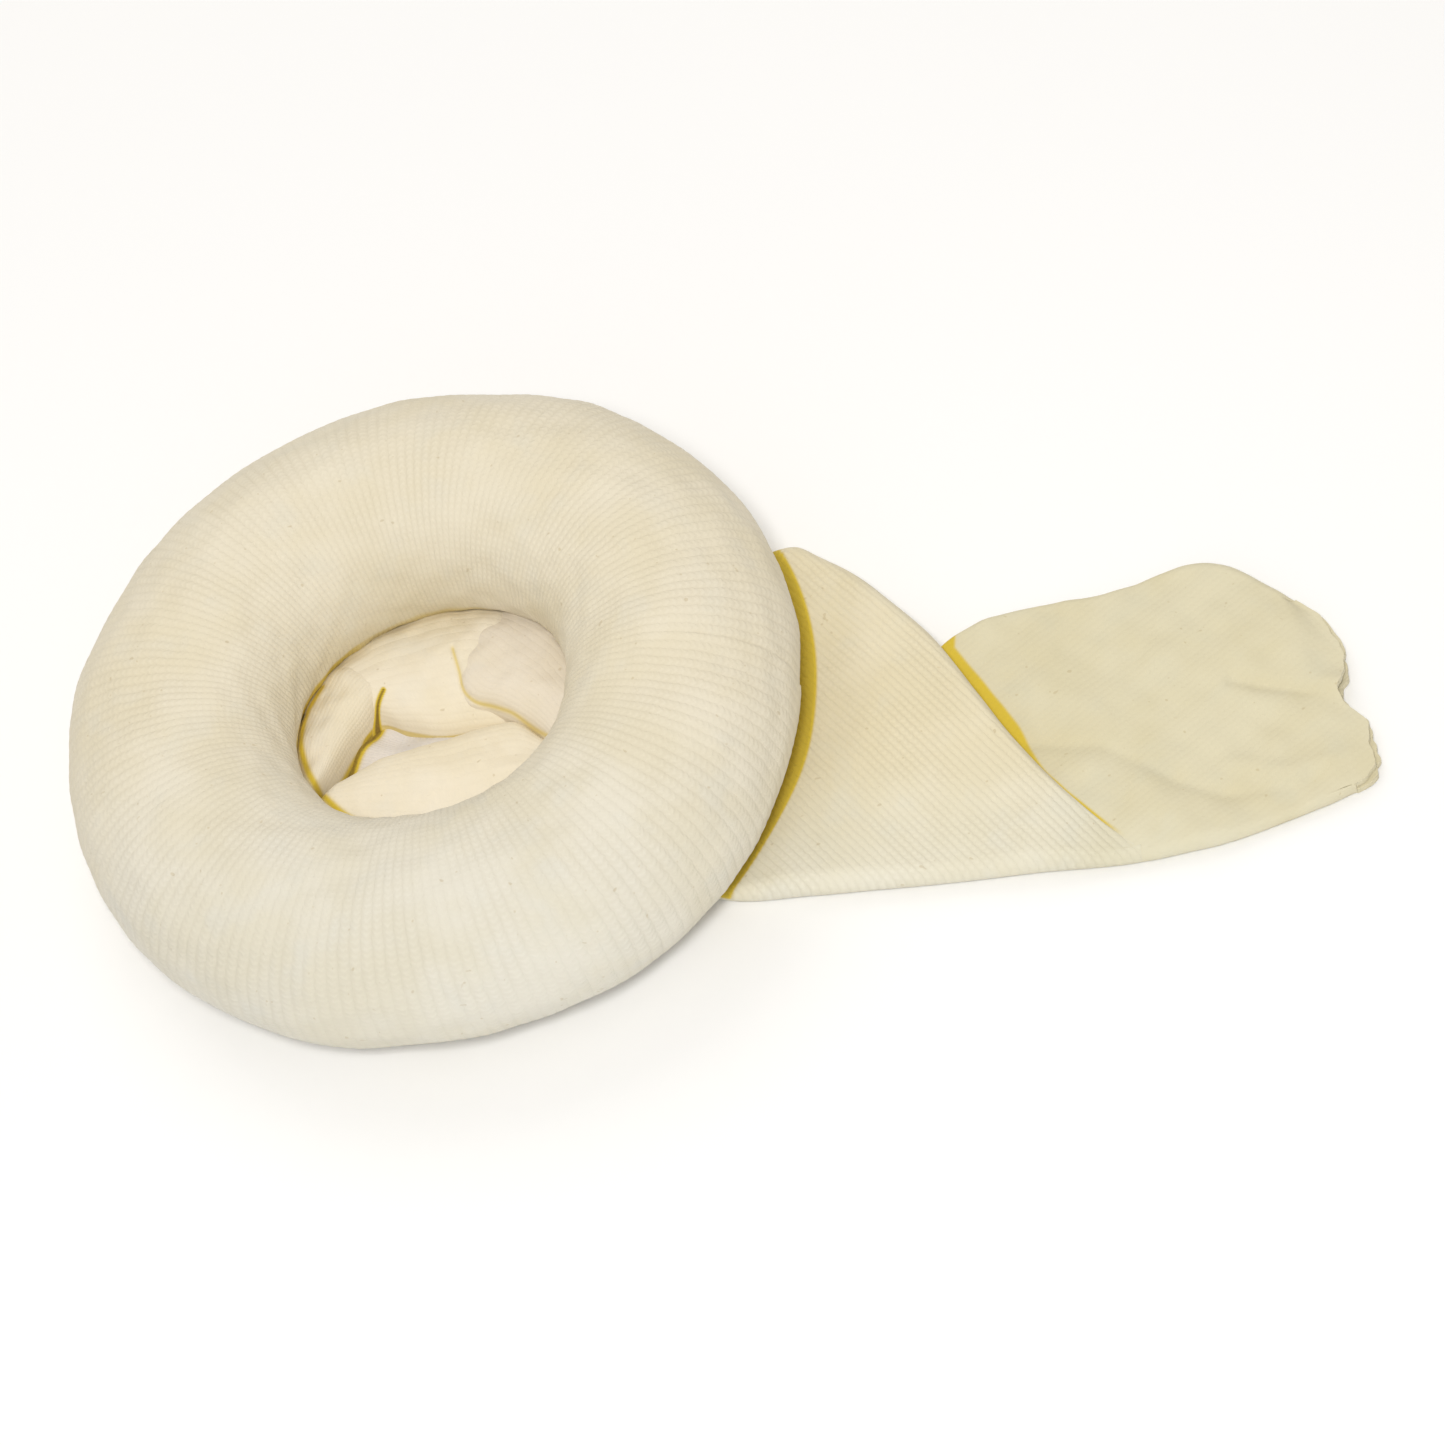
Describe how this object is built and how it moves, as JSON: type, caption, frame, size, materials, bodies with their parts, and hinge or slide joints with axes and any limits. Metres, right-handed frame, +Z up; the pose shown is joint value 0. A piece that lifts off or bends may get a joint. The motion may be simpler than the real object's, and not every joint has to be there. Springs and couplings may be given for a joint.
{
  "type": "tubular stockinette bandage",
  "caption": "Tubular knitted cotton bandage rolled on itself into a soft ring, with a free flat tail that folds over once and ends in the tube's open mouth.",
  "frame": {"origin": "bottom centre of the bounding box, on the surface that the bandage lies on", "axes": "+X runs from the rolled ring along the tail to its open mouth, +Z is up, +Y is to the left of the tail"},
  "size_m": [0.3774, 0.217, 0.0599],
  "materials": {
    "cotton_knit": "unbleached cotton knit, matt, ribbed along the wales",
    "cotton_knit_inner": "the same knit where it is folded in or rolled up, matt"
  },
  "bodies": {
    "ring": {"roll_lap_01": "cotton_knit", "roll_lap_02": "cotton_knit_inner", "roll_lap_03": "cotton_knit_inner", "roll_lap_04": "cotton_knit_inner", "roll_lap_05": "cotton_knit_inner", "roll_lap_06": "cotton_knit_inner", "roll_lap_07": "cotton_knit_inner", "roll_lap_08": "cotton_knit_inner", "roll_lap_09": "cotton_knit_inner", "roll_lap_10": "cotton_knit_inner", "roll_lap_11": "cotton_knit_inner", "rolled_in_end": "cotton_knit_inner"},
    "gather": {"gather_floor": "cotton_knit_inner", "gather_fold_left": "cotton_knit_inner", "gather_fold_front": "cotton_knit_inner", "gather_fold_back": "cotton_knit_inner", "under_ring_wall": "cotton_knit_inner"},
    "front": {"front_panel_lower_wall": "cotton_knit", "front_panel_upper_wall": "cotton_knit", "diagonal_crease": "cotton_knit"},
    "back": {"back_panel_lower_wall": "cotton_knit", "back_panel_upper_wall": "cotton_knit"},
    "end": {"end_panel_lower_wall": "cotton_knit", "end_panel_upper_wall": "cotton_knit"},
    "lip": {"mouth_lip": "cotton_knit"}
  },
  "joints": [
    {"name": "tail_swing", "type": "hinge", "parent": "ring", "child": "gather", "pos_m": [-0.07928, 0, 0], "axis": [0, 0, 1], "range_deg": [-20, 20]},
    {"name": "tail_lift", "type": "hinge", "parent": "gather", "child": "front", "pos_m": [0.03482, 0, 0.0044], "axis": [0, -1, 0], "range_deg": [0, 70]},
    {"name": "fold_open", "type": "hinge", "parent": "front", "child": "back", "pos_m": [0.08872, -0.0497, 0.0046], "axis": [-1, 0, 0], "range_deg": [0, 175], "deforming": ["diagonal_crease"]},
    {"name": "end_lift", "type": "hinge", "parent": "back", "child": "end", "pos_m": [0.12482, 0, 0.0044], "axis": [0, -1, 0], "range_deg": [0, 120]},
    {"name": "mouth_open", "type": "hinge", "parent": "end", "child": "lip", "pos_m": [0.15682, 0, 0.0044], "axis": [0, -1, 0], "range_deg": [0, 50]}
  ]
}
